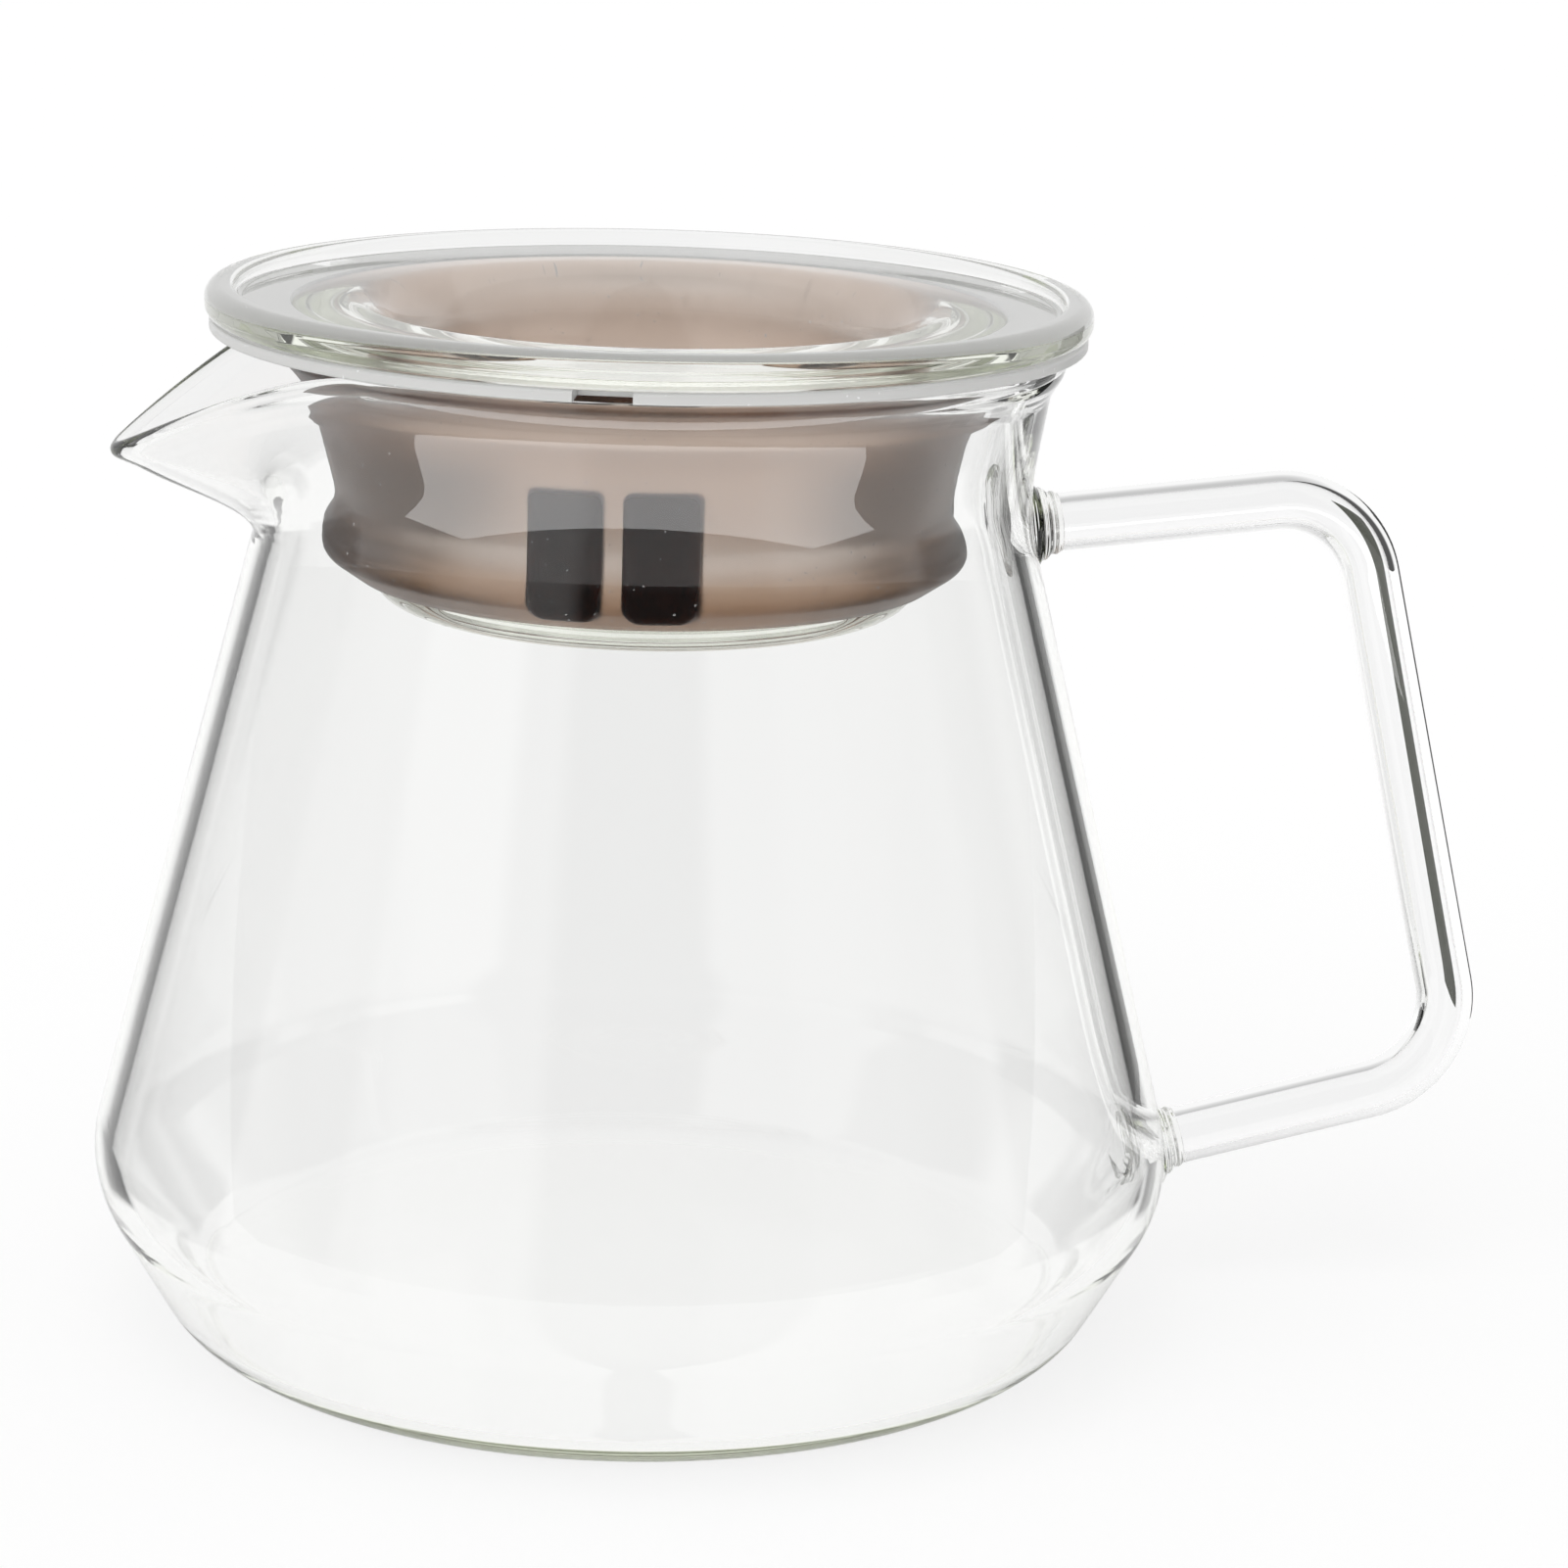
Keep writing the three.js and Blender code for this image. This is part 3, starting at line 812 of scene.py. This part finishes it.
def studio_world():
    """The set: plain white for the camera, flags and a dim front in the glass.

    Reflections show a dim room, and everything else gets an even ambient light.
    """
    world = bpy.data.worlds.new("studio")
    bpy.context.scene.world = world
    world.use_nodes = True
    tree = world.node_tree
    tree.nodes.clear()
    output = new_node(tree, "OutputWorld")
    background = new_node(tree, "Background", Color=WHITE)
    tree.links.new(background.outputs[0], output.inputs["Surface"])
    place = new_node(tree, "TexCoord")
    split = new_node(tree, "SeparateXYZ")
    tree.links.new(place.outputs["Generated"], split.inputs[0])
    height = split.outputs["Z"]
    heading = arithmetic(tree, "ARCTAN2", split.outputs["X"], split.outputs["Y"])
    turn = arithmetic(tree, "MULTIPLY", heading, 1 / (2 * math.pi))
    share = arithmetic(tree, "FRACT", arithmetic(tree, "SUBTRACT", turn, SEAM / FULL_TURN))

    path = new_node(tree, "LightPath")
    behind = levels(tree, share, FRONT)
    for stops, heights in ((FLAGS, FLAGS_HEIGHTS), (SIDE_FLAGS, SIDE_HEIGHTS),
                           (HIGH_FRONT, HIGH_FRONT_HEIGHTS)):
        behind = arithmetic(tree, "MULTIPLY", behind, flagged(tree, share, height, stops, heights))
    behind = blend(tree, straight_look(tree, path), behind, 1)
    through = path.outputs["Is Transmission Ray"]
    set_level = blend(tree, through, levels(tree, share, MIRRORED), behind)
    ceiling = blend(tree, climb(tree, height, CEILING_START, CEILING_END), 1, CEILING_LEVEL)
    shown = arithmetic(tree, "MULTIPLY", arithmetic(tree, "MULTIPLY", set_level, SET_LEVEL), ceiling)
    seen = blend(tree, path.outputs["Is Camera Ray"], shown, 1)
    looked_at = arithmetic(tree, "MAXIMUM", path.outputs["Is Camera Ray"], path.outputs["Is Glossy Ray"])
    looked_at = arithmetic(tree, "MAXIMUM", looked_at, through)
    tree.links.new(blend(tree, looked_at, AMBIENT, seen), background.inputs["Strength"])


def level_corners(low, high, height):
    return [(low[0], low[1], height), (high[0], low[1], height),
            (high[0], high[1], height), (low[0], high[1], height)]


def standing_corners(heading, distance, half_width, low, high):
    angle = math.radians(heading)
    away = np.array([math.sin(angle), math.cos(angle), 0])
    across = np.array([away[1], -away[0], 0]) * half_width
    foot = away * distance + np.array([0, 0, low])
    top = away * distance + np.array([0, 0, high])
    return [foot - across, foot + across, top + across, top - across]


def floor_piece():
    """White paper that keeps a soft shadow."""
    corners = level_corners((-FLOOR_HALF, -FLOOR_HALF), (FLOOR_HALF, FLOOR_HALF), -SKIN_GAP)
    floor = mesh_object("floor", corners, [(0, 1, 2, 3)])
    material, tree = node_material("floor")
    output = new_node(tree, "OutputMaterial")
    paper = new_node(tree, "BsdfDiffuse", Color=grey(PAPER))
    glow = new_node(tree, "Emission")
    path = new_node(tree, "LightPath")
    share = arithmetic(tree, "MULTIPLY", path.outputs["Is Camera Ray"], GLOW_SHARE)
    tree.links.new(mixed(tree, share, paper, glow), output.inputs["Surface"])
    dress(floor, material)
    floor.visible_transmission = False


def glass_card(name, corners, level, through):
    """A card with one side, seen only in the glass.

    It shows as a reflection, and straight through so many surfaces of glass at most.
    """
    card = mesh_object(name, corners, [(0, 1, 2, 3)])
    material, tree = node_material(name)
    output = new_node(tree, "OutputMaterial")
    glow = new_node(tree, "Emission", Strength=level)
    clear = new_node(tree, "BsdfTransparent")
    side = new_node(tree, "NewGeometry")
    path = new_node(tree, "LightPath")
    deep = arithmetic(tree, "GREATER_THAN", path.outputs["Transmission Depth"], through + SAME_COUNT)
    hidden = arithmetic(tree, "MAXIMUM", side.outputs["Backfacing"], deep)
    tree.links.new(mixed(tree, hidden, glow, clear), output.inputs["Surface"])
    dress(card, material)
    card.visible_camera = False
    card.visible_diffuse = False
    card.visible_shadow = False
    card.visible_transmission = through > 0
    return card


def cards():
    corners = level_corners((-CARD_HALF_WIDTH, -CARD_FAR), (CARD_HALF_WIDTH, -CARD_NEAR), CARD_HEIGHT)
    card = glass_card("card", corners, CARD_LEVEL, through=0)
    card.data.transform(Matrix.Rotation(-math.radians(CAMERA_HEADING), 4, "Z"))
    corners = standing_corners(DARK_HEADING, DARK_DISTANCE, DARK_HALF_WIDTH, DARK_FOOT, DARK_TOP)
    glass_card("dark_card", corners, DARK_LEVEL, through=ROD_SURFACES)


def sun():
    light = bpy.data.lights.new("sun", "SUN")
    light.energy = SUN_STRENGTH
    light.angle = math.radians(SUN_SIZE)
    lamp = bpy.data.objects.new("sun", light)
    bpy.context.scene.collection.objects.link(lamp)
    lamp.rotation_mode = "QUATERNION"
    lamp.rotation_quaternion = Vector(SUN_FROM).to_track_quat("Z", "Y")
    lamp.visible_glossy = False
    lamp.visible_transmission = False


def photo_camera():
    camera = bpy.data.objects.new("camera", bpy.data.cameras.new("camera"))
    bpy.context.scene.collection.objects.link(camera)
    camera.data.sensor_width = SENSOR_WIDTH
    camera.data.lens = LENS
    turn = (Matrix.Rotation(-math.radians(CAMERA_HEADING), 4, "Z")
            @ Matrix.Rotation(math.radians(RIGHT_ANGLE - CAMERA_PITCH), 4, "X")
            @ Matrix.Rotation(math.radians(CAMERA_ROLL), 4, "Z"))
    camera.matrix_world = Matrix.Translation(Vector(CAMERA_PLACE) * MM) @ turn
    bpy.context.scene.camera = camera


studio_world()
floor_piece()
cards()
sun()
photo_camera()

scene = bpy.context.scene
scene.cycles.max_bounces = GLASS_BOUNCES
scene.cycles.transmission_bounces = GLASS_BOUNCES
scene.cycles.glossy_bounces = GLASS_BOUNCES
scene.view_settings.view_transform = "Standard"
